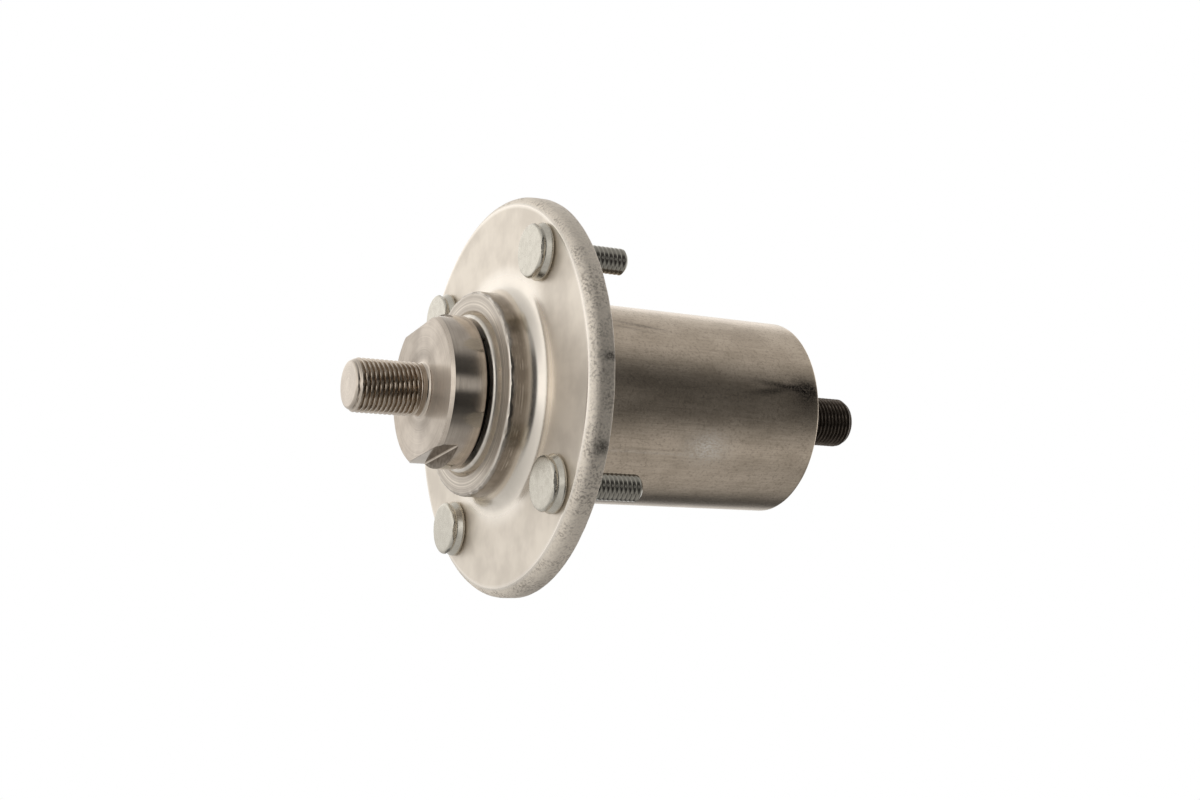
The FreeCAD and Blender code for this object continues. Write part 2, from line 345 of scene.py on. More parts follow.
class Graph:
    """Node tree with short calls for the nodes that the finishes and the room's light share."""

    def __init__(self, tree: bpy.types.NodeTree, shader: str, place: str) -> None:
        """Take a tree with its shader, and read the place of each point or ray.

        Args:
            tree: The material's or the world's node tree.
            shader: Name of its shader.
            place: Name of the coordinates that its textures are laid on.
        """
        self.tree = tree
        self.shader = tree.nodes[shader]
        self.place = self.add("ShaderNodeTexCoord").outputs[place]

    def add(self, kind: str, **settings: object) -> bpy.types.Node:
        """New node of a kind, with its own settings.

        Args:
            kind: Type of the node.
            settings: Values of its own properties.

        Returns:
            The node.
        """
        node = self.tree.nodes.new(kind)
        for key, value in settings.items():
            setattr(node, key, value)
        return node

    def feed(self, socket: bpy.types.NodeSocket, value: object) -> None:
        """Link a socket to another one, or set its value.

        Args:
            socket: Input that takes the value.
            value: Output to link, or a constant.
        """
        if isinstance(value, bpy.types.NodeSocket):
            self.tree.links.new(value, socket)
        else:
            socket.default_value = value

    def set(self, **inputs: object) -> None:
        """Set or link the shader's inputs, named with underscores for spaces."""
        for key, value in inputs.items():
            self.feed(self.shader.inputs[key.replace("_", " ")], value)

    def maths(self, operation: str, first: object, second: object = 0.0) -> bpy.types.NodeSocket:
        """Result of an operation on two values.

        Args:
            operation: Name of the operation.
            first: First value.
            second: Second value, where the operation has one.

        Returns:
            The result.
        """
        node = self.add("ShaderNodeMath", operation=operation)
        self.feed(node.inputs[0], first)
        self.feed(node.inputs[1], second)
        return node.outputs[0]

    def plus(self, first: object, second: object) -> bpy.types.NodeSocket:
        """Sum of two values."""
        return self.maths("ADD", first, second)

    def times(self, first: object, second: object) -> bpy.types.NodeSocket:
        """Product of two values."""
        return self.maths("MULTIPLY", first, second)

    def mixed(self, first: object, second: object, share: float) -> bpy.types.NodeSocket:
        """Mean of two values, with the share that the first one has in it."""
        return self.plus(self.times(first, share), self.times(second, 1.0 - share))

    def scaled(self, value: object, span: Span) -> bpy.types.NodeSocket:
        """Value carried from a span's first pair onto its second pair by a smooth step.

        Args:
            value: What is carried.
            span: Range of the value, and what its two ends become.

        Returns:
            The carried value.
        """
        node = self.add("ShaderNodeMapRange", interpolation_type="SMOOTHSTEP")
        for socket, item in zip(node.inputs, (value, *span)):
            self.feed(socket, item)
        return node.outputs[0]

    def blend(self, factor: object, first: object, second: object) -> bpy.types.NodeSocket:
        """Colour between two colours.

        Args:
            factor: Share of the second colour.
            first: First colour.
            second: Second colour.

        Returns:
            The mixed colour.
        """
        node = self.add("ShaderNodeMix", data_type="RGBA")
        self.feed(node.inputs[0], factor)
        self.feed(node.inputs[6], first)
        self.feed(node.inputs[7], second)
        return node.outputs[2]

    def vector(self, operation: str, first: object, second: Sequence[float] | None = None) -> bpy.types.Node:
        """Node with the result of an operation on vectors.

        Args:
            operation: Name of the operation.
            first: First vector.
            second: Second vector, where the operation has one.

        Returns:
            The node, whose outputs hold the result.
        """
        node = self.add("ShaderNodeVectorMath", operation=operation)
        self.feed(node.inputs[0], first)
        if second is not None:
            node.inputs[1].default_value = second
        return node


class FinishGraph(Graph):
    """Node tree of one finish, on the object's own coordinates."""

    shift_ways: tuple[float, float, float] = (1.0, 0.7, 1.3)
    octave_weight: float = 0.6

    def __init__(self, name: str) -> None:
        """Start a material with its shader.

        Args:
            name: Name of the material.
        """
        self.material = bpy.data.materials.new(name)
        self.material.use_nodes = True
        super().__init__(self.material.node_tree, "Principled BSDF", "Object")

    def noise(self, pattern: Pattern) -> bpy.types.NodeSocket:
        """Noise with values about 0.5, of a pattern's size and grain.

        Rings are a function of radius plus level, as a lathe tool leaves them on faces and flanks alike.

        Args:
            pattern: What the noise is like.

        Returns:
            The noise, before the pattern's contrast.
        """
        if pattern.grain is Grain.RINGS:
            texture = self.add("ShaderNodeTexNoise", noise_dimensions="1D")
            parts = self.add("ShaderNodeSeparateXYZ")
            self.feed(parts.inputs[0], self.place)
            radius = self.vector("LENGTH", self.across()).outputs["Value"]
            self.feed(texture.inputs["W"], self.plus(self.plus(radius, parts.outputs["Z"]), pattern.shift))
            texture.inputs["Scale"].default_value = 1.0 / (pattern.size * MM)
        else:
            texture = self.add("ShaderNodeTexNoise")
            mapping = self.add("ShaderNodeMapping")
            self.feed(mapping.inputs["Vector"], self.place)
            fine = 1.0 / (pattern.size * MM)
            mapping.inputs["Location"].default_value = [pattern.shift * way for way in self.shift_ways]
            mapping.inputs["Scale"].default_value = (fine, fine, fine / pattern.drawn_out)
            self.feed(texture.inputs["Vector"], mapping.outputs[0])
            texture.inputs["Scale"].default_value = 1.0
        texture.inputs["Detail"].default_value = pattern.octaves
        texture.inputs["Roughness"].default_value = self.octave_weight
        return texture.outputs[0]

    def shown(self, pattern: Pattern) -> bpy.types.NodeSocket:
        """Noise of a pattern with its contrast."""
        return self.scaled(self.noise(pattern), pattern.span)

    def across(self) -> bpy.types.NodeSocket:
        """Place of a point without its level."""
        return self.vector("MULTIPLY", self.place, (1.0, 1.0, 0.0)).outputs[0]

    def outwards(self) -> bpy.types.NodeSocket:
        """Direction away from the axis, along which the rings of a faced end spread the light.

        Returns:
            The direction at each point.
        """
        turned_along = self.add("ShaderNodeVectorTransform", convert_from="OBJECT", convert_to="WORLD")
        self.feed(turned_along.inputs[0], self.across())
        return self.vector("NORMALIZE", turned_along.outputs[0]).outputs[0]

    def trait(self, trait: Trait) -> bpy.types.NodeSocket:
        """Value painted on the piece's points."""
        return self.add("ShaderNodeAttribute", attribute_name=trait.value).outputs["Fac"]

    def bump(self, height: object, depth: float, below: object = None) -> bpy.types.NodeSocket:
        """Normal tilted by a height field.

        Args:
            height: Height between 0 and 1.
            depth: What a height of 1 is, in mm.
            below: Normal of a coarser relief that this one lies on.

        Returns:
            The tilted normal.
        """
        node = self.add("ShaderNodeBump")
        node.inputs["Distance"].default_value = depth * MM
        self.feed(node.inputs["Height"], height)
        if below is not None:
            self.feed(node.inputs["Normal"], below)
        return node.outputs[0]


@dataclass(frozen=True)
class CastAluminium:
    """Housing: satin machined face, granular rim, dirty streaked tube, scored neck darkened partly by stain
    and partly as painted shade, fillet lightened as painted highlight, edges lightened as wear and painted
    highlight, soot with painted shade, and scuffs.
    """

    bright: Colour = (0.81, 0.745, 0.66, 1.0)
    shade: Colour = (0.69, 0.63, 0.555, 1.0)
    tube_light: Colour = (0.80, 0.68, 0.55, 1.0)
    tube_dark: Colour = (0.63, 0.53, 0.42, 1.0)
    tube_dirt: Colour = (0.36, 0.295, 0.23, 1.0)
    rim_light: Colour = (0.93, 0.86, 0.765, 1.0)
    pit: Colour = (0.50, 0.45, 0.395, 1.0)
    neck_stain_and_shade: Colour = (0.31, 0.27, 0.228, 1.0)
    light_wear_and_highlight: Colour = (0.90, 0.84, 0.76, 1.0)
    soot: Colour = (0.035, 0.03, 0.027, 1.0)
    face_rough: float = 0.48
    tube_rough: float = 0.23
    rim_rough: float = 0.62
    neck_rough: float = 0.25
    fillet_rough: float = 0.25
    mouth_rough: float = 0.44
    edge_rough: float = 0.25
    skin: Pattern = Pattern(0.7, 3.0, 11.0)
    face_clouds: Pattern = Pattern(14.0, 3.0, span=(0.35, 0.68, 0.0, 1.0))
    tube_lines: Pattern = Pattern(0.42, 3.0, 3.0, 40.0)
    tube_blotches: Pattern = Pattern(6.0, 5.0, 5.0, 1.8)
    tube_line_share: float = 0.35
    tube_span: Span = (0.36, 0.64, 0.0, 1.0)
    tube_specks: Pattern = Pattern(0.8, 5.0, 31.0, 1.2, (0.46, 0.74, 0.0, 0.60))
    tube_scratches: Pattern = Pattern(0.35, 3.0, 37.0, 70.0, (0.58, 0.76, 0.0, 0.45))
    rim_patches: Pattern = Pattern(7.0, 3.0, 13.0, span=(0.38, 0.62, 0.25, 1.0))
    pit_span: Span = (0.42, 0.66, 0.0, 1.0)
    neck_rings: Pattern = Pattern(1.6, 3.0, 4.0, grain=Grain.RINGS)
    neck_blotches: Pattern = Pattern(5.0, 5.0, 8.0)
    neck_ring_share: float = 0.3
    neck_span: Span = (0.36, 0.60, 0.75, 1.0)
    neck_scores: Pattern = Pattern(0.6, 4.0, 6.0, span=(0.54, 0.68, 0.0, 0.7), grain=Grain.RINGS)
    neck_breaks: Pattern = Pattern(4.0, 3.0, 19.0, span=(0.42, 0.62, 0.0, 1.0))
    mouth_rings: Pattern = Pattern(1.1, 3.0, 2.0, span=(0.36, 0.56, 0.1, 0.9), grain=Grain.RINGS)
    mouth_cuts: Pattern = Pattern(0.9, 3.0, grain=Grain.RINGS)
    fillet_highlight_share: float = 0.6
    edge_wear_and_highlight_share: float = 0.8
    soot_and_shade_breakup: Pattern = Pattern(0.6, 5.0, 17.0, span=(0.30, 0.62, 0.5, 1.0))
    rubbing: Pattern = Pattern(0.5, 5.0, 23.0, 1.8, (0.38, 0.62, 0.2, 1.0))
    face_relief: float = 0.08
    rim_relief: float = 0.45
    neck_relief: float = 0.5
    skin_depth: float = 0.05
    line_depth: float = 0.008
    cut_depth: float = 0.16

    def material(self) -> bpy.types.Material:
        """Build the finish from the colours, the roughness and the relief of the casting's zones.

        Returns:
            The material.
        """
        graph = FinishGraph("cast_aluminium")
        roughs = {
            Trait.TUBE: self.tube_rough,
            Trait.RIM: self.rim_rough,
            Trait.NECK: self.neck_rough,
            Trait.FILLET: self.fillet_rough,
            Trait.FACED: self.mouth_rough,
            Trait.EDGE: self.edge_rough,
        }
        zones = {trait: graph.trait(trait) for trait in roughs}
        skin = graph.noise(self.skin)
        lines = graph.noise(self.tube_lines)
        colour = self.soiled_and_shaded(graph, self.clean(graph, zones, skin, lines))
        rough = self.face_rough
        for trait, value in roughs.items():
            rough = graph.plus(rough, graph.times(zones[trait], value - self.face_rough))
        cast = graph.times(zones[Trait.RIM], self.rim_relief)
        cast = graph.plus(cast, graph.times(zones[Trait.NECK], self.neck_relief))
        grained = graph.times(graph.plus(self.face_relief, cast), skin)
        lined = graph.times(zones[Trait.TUBE], lines)
        faced = graph.times(zones[Trait.FACED], graph.noise(self.mouth_cuts))
        normal = graph.bump(lined, self.line_depth, graph.bump(faced, self.cut_depth))
        normal = graph.bump(grained, self.skin_depth, normal)
        graph.set(Base_Color=colour, Metallic=1.0, Roughness=rough, Normal=normal)
        return graph.material

    def clean(
        self,
        graph: FinishGraph,
        zones: dict[Trait, bpy.types.NodeSocket],
        skin: bpy.types.NodeSocket,
        lines: bpy.types.NodeSocket,
    ) -> bpy.types.NodeSocket:
        """Colour of the bare metal, zone over zone.

        The face is clouded, the tube streaked and specked, the rim pitted, the neck darkened (partly its own
        stain, partly painted shade) with light scores, and its mouth cut in rings.
        The fillet beside the neck is lightened as a painted highlight, and the two sharp edges partly as
        wear and partly as painted highlight.

        Args:
            graph: The finish's node tree.
            zones: Painted share of each kind of surface.
            skin: Fine noise of the cast skin.
            lines: Fine noise drawn out along the tube.

        Returns:
            The colour.
        """
        face = graph.blend(graph.shown(self.face_clouds), self.bright, self.shade)
        worn = graph.mixed(lines, graph.noise(self.tube_blotches), self.tube_line_share)
        tube = graph.blend(graph.scaled(worn, self.tube_span), self.tube_light, self.tube_dark)
        dirt = graph.maths("MAXIMUM", graph.shown(self.tube_specks), graph.shown(self.tube_scratches))
        tube = graph.blend(dirt, tube, self.tube_dirt)
        pitted = graph.times(graph.scaled(skin, self.pit_span), graph.shown(self.rim_patches))
        rim = graph.blend(pitted, self.rim_light, self.pit)
        scored = graph.times(graph.shown(self.neck_scores), graph.shown(self.neck_breaks))
        neck = graph.blend(scored, self.neck_stain_and_shade, self.light_wear_and_highlight)
        rings, blotches = graph.noise(self.neck_rings), graph.noise(self.neck_blotches)
        stained = graph.mixed(rings, blotches, self.neck_ring_share)
        layers = (
            (zones[Trait.TUBE], tube),
            # Painted highlight: the fillet beside the neck is lightened to brighten its reflection.
            (graph.times(zones[Trait.FILLET], self.fillet_highlight_share), self.light_wear_and_highlight),
            (zones[Trait.RIM], rim),
            # Neck darkened: partly its own stain, partly painted shade for the dark room that it reflects.
            (graph.times(zones[Trait.NECK], graph.scaled(stained, self.neck_span)), neck),
            (graph.times(zones[Trait.FACED], graph.shown(self.mouth_rings)), self.pit),
            # Edges lightened, partly as wear and partly as painted highlight.
            (graph.times(zones[Trait.EDGE], self.edge_wear_and_highlight_share), self.light_wear_and_highlight),
        )
        colour = face
        for share, layer in layers:
            colour = graph.blend(share, colour, layer)
        return colour

    def soiled_and_shaded(self, graph: FinishGraph, colour: bpy.types.NodeSocket) -> bpy.types.NodeSocket:
        """Colour with the painted soot, painted shade and bright scuffs laid over it, all broken up by
        noise.

        Args:
            graph: The finish's node tree.
            colour: Colour of the bare metal.

        Returns:
            The colour.
        """
        # The soot trait darkens with real soot and with painted shade alike.
        sooted_and_shaded = graph.times(graph.trait(Trait.SOOT), graph.shown(self.soot_and_shade_breakup))
        rubbed = graph.times(graph.trait(Trait.SCUFF), graph.shown(self.rubbing))
        return graph.blend(rubbed, graph.blend(sooted_and_shaded, colour, self.soot), self.light_wear_and_highlight)


@dataclass(frozen=True)
class TurnedSteel:
    """Shaft: turned rings, a faced hub front with a nut's print, oily threads, stains, black pulley end."""

    light: Colour = (0.66, 0.585, 0.505, 1.0)
    dark: Colour = (0.53, 0.465, 0.40, 1.0)
    oil: Colour = (0.36, 0.285, 0.21, 1.0)
    stain: Colour = (0.11, 0.085, 0.06, 1.0)
    black: Colour = (0.10, 0.082, 0.068, 1.0)
    rings: Pattern = Pattern(0.35, grain=Grain.RINGS)
    clouds: Pattern = Pattern(6.0, 3.0, 2.0)
    ring_share: float = 0.5
    tint_span: Span = (0.38, 0.62, 0.0, 1.0)
    oil_film: Pattern = Pattern(2.5, 4.0, 7.0, span=(0.25, 0.7, 0.55, 1.0))
    mottle: Pattern = Pattern(1.3, 4.0, 9.0, span=(0.3, 0.7, 0.75, 1.0))
    black_span: Span = (0.75, 1.0, 0.92, 1.0)
    rough: float = 0.10
    tint_rough: float = 0.05
    groove_rough: float = 0.15
    faced_rough: float = 0.20
    stain_rough: float = 0.22
    ring_depth: float = 0.0025

    def material(self) -> bpy.types.Material:
        """Build the finish from rings round the axis, clouds of tint and the painted stains.

        The rings of the faced hub front spread the light away from the axis only.

        Returns:
            The material.
        """
        graph = FinishGraph("turned_steel")
        rings = graph.noise(self.rings)
        tint = graph.scaled(graph.mixed(rings, graph.noise(self.clouds), self.ring_share), self.tint_span)
        groove, stain, soot, faced = (
            graph.trait(trait) for trait in (Trait.GROOVE, Trait.STAIN, Trait.SOOT, Trait.FACED)
        )
        mottle = graph.shown(self.mottle)
        colour = graph.blend(tint, self.light, self.dark)
        colour = graph.blend(graph.times(groove, graph.shown(self.oil_film)), colour, self.oil)
        colour = graph.blend(graph.times(stain, mottle), colour, self.stain)
        colour = graph.blend(graph.times(soot, graph.scaled(mottle, self.black_span)), colour, self.black)
        rough = graph.plus(self.rough, graph.times(tint, self.tint_rough))
        rough = graph.plus(rough, graph.times(groove, self.groove_rough))
        rough = graph.plus(rough, graph.times(faced, self.faced_rough))
        rough = graph.plus(rough, graph.times(graph.plus(stain, soot), self.stain_rough))
        normal = graph.bump(rings, self.ring_depth)
        graph.set(Base_Color=colour, Metallic=1.0, Roughness=rough, Normal=normal)
        graph.set(Anisotropic=faced, Tangent=graph.outwards())
        return graph.material


@dataclass(frozen=True)
class ZincPlate:
    """Flange bolts: dull zinc with a yellow-green cast, mottled, with darkened threads."""

    light: Colour = (0.63, 0.60, 0.53, 1.0)
    dark: Colour = (0.57, 0.54, 0.475, 1.0)
    root: Colour = (0.07, 0.068, 0.055, 1.0)
    coarse: Pattern = Pattern(2.2)
    fine: Pattern = Pattern(0.7, 3.0, 4.0)
    coarse_share: float = 0.6
    tint_span: Span = (0.40, 0.62, 0.0, 1.0)
    rough_span: Span = (0.35, 0.65, 0.22, 0.30)
    root_share: float = 0.9
    root_gloss: float = 0.2
    fine_depth: float = 0.003

    def material(self) -> bpy.types.Material:
        """Build the finish from two sizes of mottling and the painted threads.

        Returns:
            The material.
        """
        graph = FinishGraph("zinc_plate")
        fine = graph.noise(self.fine)
        mottle = graph.mixed(graph.noise(self.coarse), fine, self.coarse_share)
        groove = graph.trait(Trait.GROOVE)
        colour = graph.blend(graph.scaled(mottle, self.tint_span), self.light, self.dark)
        colour = graph.blend(graph.times(groove, self.root_share), colour, self.root)
        rough = graph.scaled(mottle, self.rough_span)
        rough = graph.maths("SUBTRACT", rough, graph.times(groove, self.root_gloss))
        normal = graph.bump(fine, self.fine_depth)
        graph.set(Base_Color=colour, Metallic=1.0, Roughness=rough, Normal=normal)
        return graph.material


class Working(Enum):
    """How a bearing's or the spacer's steel was worked, with the width of the marks that it left in mm."""

    GROUND = 0.22
    PRESSED = 1.4
    POLISHED = 3.0
    DRAWN = 0.8


@dataclass(frozen=True)
class BearingSteel:
    """Steel of the races, cages, balls and spacer, in rings of the width that its working leaves."""

    name: str
    working: Working
    light: Colour = (0.62, 0.58, 0.53, 1.0)
    dark: Colour = (0.46, 0.43, 0.39, 1.0)
    rough: float = 0.24
    film: Pattern = Pattern(4.0, 3.0, 6.0)
    mark_octaves: float = 3.0
    mark_share: float = 0.55
    mark_depth: float = 0.003
    tint_span: Span = (0.38, 0.62, 0.0, 1.0)
    film_reach: Fade = (0.3, 0.7)
    film_gloss: Fade = (0.8, 1.3)

    def material(self) -> bpy.types.Material:
        """Build the finish from the marks of its working and a faint film of grease.

        Returns:
            The material.
        """
        graph = FinishGraph(self.name)
        marks = graph.noise(Pattern(self.working.value, self.mark_octaves, grain=Grain.RINGS))
        film = graph.noise(self.film)
        tint = graph.scaled(graph.mixed(marks, film, self.mark_share), self.tint_span)
        colour = graph.blend(tint, self.light, self.dark)
        rough = graph.scaled(film, (*self.film_reach, *(self.rough * part for part in self.film_gloss)))
        normal = graph.bump(marks, self.mark_depth)
        graph.set(Base_Color=colour, Metallic=1.0, Roughness=rough, Normal=normal)
        return graph.material


@dataclass(frozen=True)
class SealRubber:
    """Bearing seals: matt black rubber with a faint moulded texture and a little dust."""

    black: Colour = (0.010, 0.0095, 0.009, 1.0)
    dusty: Colour = (0.016, 0.0145, 0.013, 1.0)
    dust: Pattern = Pattern(5.0, 2.0, span=(0.45, 0.75, 0.0, 1.0))
    texture: Pattern = Pattern(0.3, 2.0, 3.0)
    texture_depth: float = 0.01
    rough_span: Span = (0.0, 1.0, 0.48, 0.75)

    def material(self) -> bpy.types.Material:
        """Build the finish from fine moulding texture and clouds of dust.

        Returns:
            The material.
        """
        graph = FinishGraph("seal_rubber")
        dust = graph.shown(self.dust)
        normal = graph.bump(graph.noise(self.texture), self.texture_depth)
        rough = graph.scaled(dust, self.rough_span)
        graph.set(Base_Color=graph.blend(dust, self.black, self.dusty), Roughness=rough, Normal=normal)
        return graph.material


@dataclass(frozen=True)
class Thread:
    """Right-hand screw thread with flat crests and roots."""

    outer_r: float
    pitch: float = 25.4 / 18.0
    depth_share: float = 0.613
    crest_share: float = 0.125
    root_share: float = 0.25

    def groove(self, angle: np.ndarray, level: np.ndarray) -> np.ndarray:
        """Depth of the groove as a share of the whole depth.

        The phase is level / pitch - angle / turn. From the middle of a crest to the middle of a root the
        depth is 0 over the crest's flat, rises by a smooth step over the flank and is 1 over the root's
        flat.

        Args:
            angle: Angle of each column, in radians.
            level: Level of each row.

        Returns:
            Share for each point of the grid.
        """
        phase = level / self.pitch - angle / TAU
        from_crest = 2.0 * np.abs(phase - np.floor(phase) - 0.5)
        return smooth(self.crest_share, 1.0 - self.root_share, from_crest)

    def radius(self, share: np.ndarray) -> np.ndarray:
        """Radius at a share of the groove's depth: outer radius less share x depth."""
        return self.outer_r - share * self.depth_share * self.pitch


@dataclass(frozen=True)
class BoltCircle:
    """Circle that the flange's bolts and their holes stand on."""

    radius: float = 48.0
    count: int = 4
    first_deg: float = 45.0

    def centres(self) -> np.ndarray:
        """Middle of each bolt, in even steps round the circle."""
        angle = np.radians(self.first_deg + 360.0 / self.count * np.arange(self.count))
        return self.radius * np.stack([np.cos(angle), np.sin(angle)], axis=1)


@dataclass(frozen=True)
class Mark:
    """Soft patch on the housing: its middle by angle and level, and its reach each way."""

    trait: Trait
    angle_deg: float
    level: float
    reach_deg: float
    reach: float
    strength: float
    slant: float = 0.0

    def cover(self, angle: np.ndarray, level: np.ndarray) -> np.ndarray:
        """Strength x exp(-(a² + b²)), with a and b the distances from its middle in reaches.

        The middle line leans by slant degrees of angle per mm of level.

        Args:
            angle: Angle of each point in degrees.
            level: Level of each point.

        Returns:
            Cover of each point.
        """
        along = level - self.level
        turn = (angle - self.angle_deg - self.slant * along + 180.0) % 360.0 - 180.0
        return self.strength * np.exp(-((turn / self.reach_deg) ** 2) - (along / self.reach) ** 2)


@dataclass
class Housing:
    """Cast housing: flange, neck and tube in one ring of an outline, with four drilled bolt holes."""

    node: str = "spindle_housing"
    body: str = "housing"
    flange_r: float = 60.0
    flange_t: float = 7.0
    edge_w: float = 2.7
    edge_drop: float = 1.2
    crease_round: float = 0.8
    rim_round: float = 3.9
    rim_upper_round: float = 0.5
    neck_r: float = 30.5
    neck_fillet: float = 4.3
    neck_edge_round: float = 0.6
    tube_root_r: float = 30.9
    tube_end_r: float = 30.6
    tube_fillet: float = 1.5
    tube_edge_round: float = 0.6
    seat_r: float = 23.5
    lower_seat_z: float = -5.1
    upper_seat_z: float = 74.7
    grease_bore_r: float = 20.5
    mouth_chamfer: float = 1.2
    circle: BoltCircle = BoltCircle()
    bolt_hole_r: float = 4.38
    columns: int = 336
    hole_columns: int = 64
    sharp_deg: float = 40.0
    bore_margin: float = 6.0
    wall_margin: float = 1.2
    rim_fade: Fade = (-0.1, 0.5)
    crease_fade: Fade = (0.75, 0.1)
    crease_level_fade: Fade = (0.6, 0.2)
    tube_level_fade: Fade = (0.2, 1.5)
    tube_root_fade: Fade = (3.0, 1.0)
    neck_fade: Fade = (0.6, -1.2)
    fillet_fade: Fade = (6.0, 0.5)
    face_fade: Fade = (1.0, 0.0)
    mouth_fade: Fade = (0.5, 0.1)
    mouth_edge_fade: Fade = (0.75, 0.25)
    ragged_fade: Fade = (1.1, 0.2)
    grain_cell: float = 1.3
    dent_cell: float = 4.5
    wave_cell: float = 5.0
    wave_squeeze: float = 0.12
    ragged_cell: float = 1.6
    break_cell: float = 5.0
    rim_grain: float = 0.05
    rim_dents: float = 0.07
    tube_waves: float = 0.05
    tube_grain: float = 0.015
    neck_dents: float = 0.05
    ragged_depth: float = 1.0
    mark_wall_margin: float = 1.0
    mark_crease_margin: float = 0.3
    mark_level: float = 0.1
    # Soot and scuff marks; the ones noted below as painted shade stand in for shade rather than soot.
    marks: tuple[Mark, ...] = (
        Mark(Trait.SOOT, 91.0, 71.0, 2.0, 7.0, 0.80, -0.25),
        Mark(Trait.SOOT, 86.8, 74.0, 1.6, 8.0, 0.85, 0.15),
        Mark(Trait.SOOT, 87.5, 85.0, 6.0, 5.5, 0.92),
        Mark(Trait.SOOT, 96.0, 85.0, 9.0, 6.5, 0.45),
        Mark(Trait.SOOT, 54.0, 30.0, 1.3, 9.0, 0.50, 0.25),
        Mark(Trait.SOOT, 57.5, 26.0, 0.9, 7.0, 0.35, 0.25),
        Mark(Trait.SOOT, 130.0, 30.0, 0.4, 14.0, 0.30),
        # A broad darker band along the tube at about 173 degrees, towards its lower side.
        Mark(Trait.SOOT, 173.0, 45.0, 11.0, 60.0, 0.40),
        # Painted shade: a darker strip down the tube's near side, standing in for the dark room that it
        # reflects.
        Mark(Trait.SOOT, 96.0, 30.0, 9.0, 40.0, 0.20),
        # Painted shade: a broad darker band round the rim's near side, standing in for the dark that it
        # reflects.
        Mark(Trait.SOOT, 101.0, -2.0, 24.0, 2.8, 0.28),
        Mark(Trait.SOOT, 60.0, -4.0, 22.0, 5.0, 0.16),
        Mark(Trait.SOOT, 117.5, -2.0, 2.0, 2.5, 0.75),
        Mark(Trait.SOOT, 93.6, -1.5, 1.2, 2.5, 0.60),
        Mark(Trait.SCUFF, 126.0, 50.0, 8.5, 6.5, 1.0),
        Mark(Trait.SCUFF, 131.5, 28.0, 0.7, 22.0, 0.45),
    )

    def __post_init__(self) -> None:
        """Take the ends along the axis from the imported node."""
        low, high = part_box(self.node)
        self.mouth_z = low.z / MM
        self.tube_end_z = high.z / MM
        self.crease_r = self.flange_r - self.edge_w

    def outline(self) -> np.ndarray:
        """Outline of the whole casting, from the neck's mouth round the outside and back through the bore.

        Returns:
            Radius and level of each point.
        """
        face_z = -self.flange_t
        mouth_r = self.seat_r + self.mouth_chamfer
        return trace([
            Corner(mouth_r, self.mouth_z, step=0.9),
            Corner(self.neck_r, self.mouth_z, self.neck_edge_round, step=0.8),
            Corner(self.neck_r, face_z, self.neck_fillet, step=1.0),
            Corner(self.crease_r, face_z, self.crease_round, step=0.4),
            Corner(self.flange_r, face_z + self.edge_drop, self.rim_round, step=0.6),
            Corner(self.flange_r, 0.0, self.rim_upper_round, step=1.6),
            Corner(self.tube_root_r, 0.0, self.tube_fillet, step=0.8),
            Corner(self.tube_end_r, self.tube_end_z, self.tube_edge_round, step=0.9),
            Corner(mouth_r, self.tube_end_z, step=1.0),
            Corner(self.seat_r, self.tube_end_z - self.mouth_chamfer, step=5.0),
            Corner(self.seat_r, self.upper_seat_z, step=2.0),
            Corner(self.grease_bore_r, self.upper_seat_z, step=9.0),
            Corner(self.grease_bore_r, self.lower_seat_z, step=2.0),
            Corner(self.seat_r, self.lower_seat_z, step=5.0),
            Corner(self.seat_r, self.mouth_z + self.mouth_chamfer, step=1.0),
        ], closed=True)

    def zones(self, points: np.ndarray) -> dict[Trait, np.ndarray]:
        """Share of each kind of surface at points of the casting, by smooth steps of radius and level.

        Args:
            points: Places on the casting, three values along the last axis.

        Returns:
            Share between 0 and 1 for the tube, rim and neck, for the neck's fillet and faced mouth, and for
            the two edges that are lightened partly as wear and partly as painted highlight.
        """
        radius = np.hypot(points[..., 0], points[..., 1])
        level = points[..., 2]
        above_face = level + self.flange_t
        past_crease = radius - self.crease_r
        past_fillet = radius - self.neck_r - self.neck_fillet
        outside = smooth(self.grease_bore_r + self.bore_margin, self.neck_r - self.wall_margin, radius)
        rim = smooth(*self.rim_fade, past_crease)
        crease = smooth(*self.crease_fade, np.abs(past_crease)) * smooth(*self.crease_level_fade, above_face)
        tube = outside * smooth(*self.tube_level_fade, level)
        tube = tube * smooth(*self.tube_root_fade, radius - self.tube_root_r)
        neck = outside * smooth(*self.neck_fade, above_face + self.neck_fillet)
        fillet = outside * smooth(*self.fillet_fade, past_fillet)
        fillet = fillet * smooth(*self.face_fade, above_face) - neck
        mouth = smooth(*self.mouth_fade, level - self.mouth_z)
        edge = smooth(*self.mouth_edge_fade, np.hypot(radius - self.neck_r, level - self.mouth_z))
        return {
            Trait.TUBE: tube,
            Trait.RIM: rim,
            Trait.NECK: neck * (1.0 - mouth),
            Trait.FILLET: fillet,
            Trait.FACED: mouth,
            Trait.EDGE: np.maximum(crease, edge),
        }

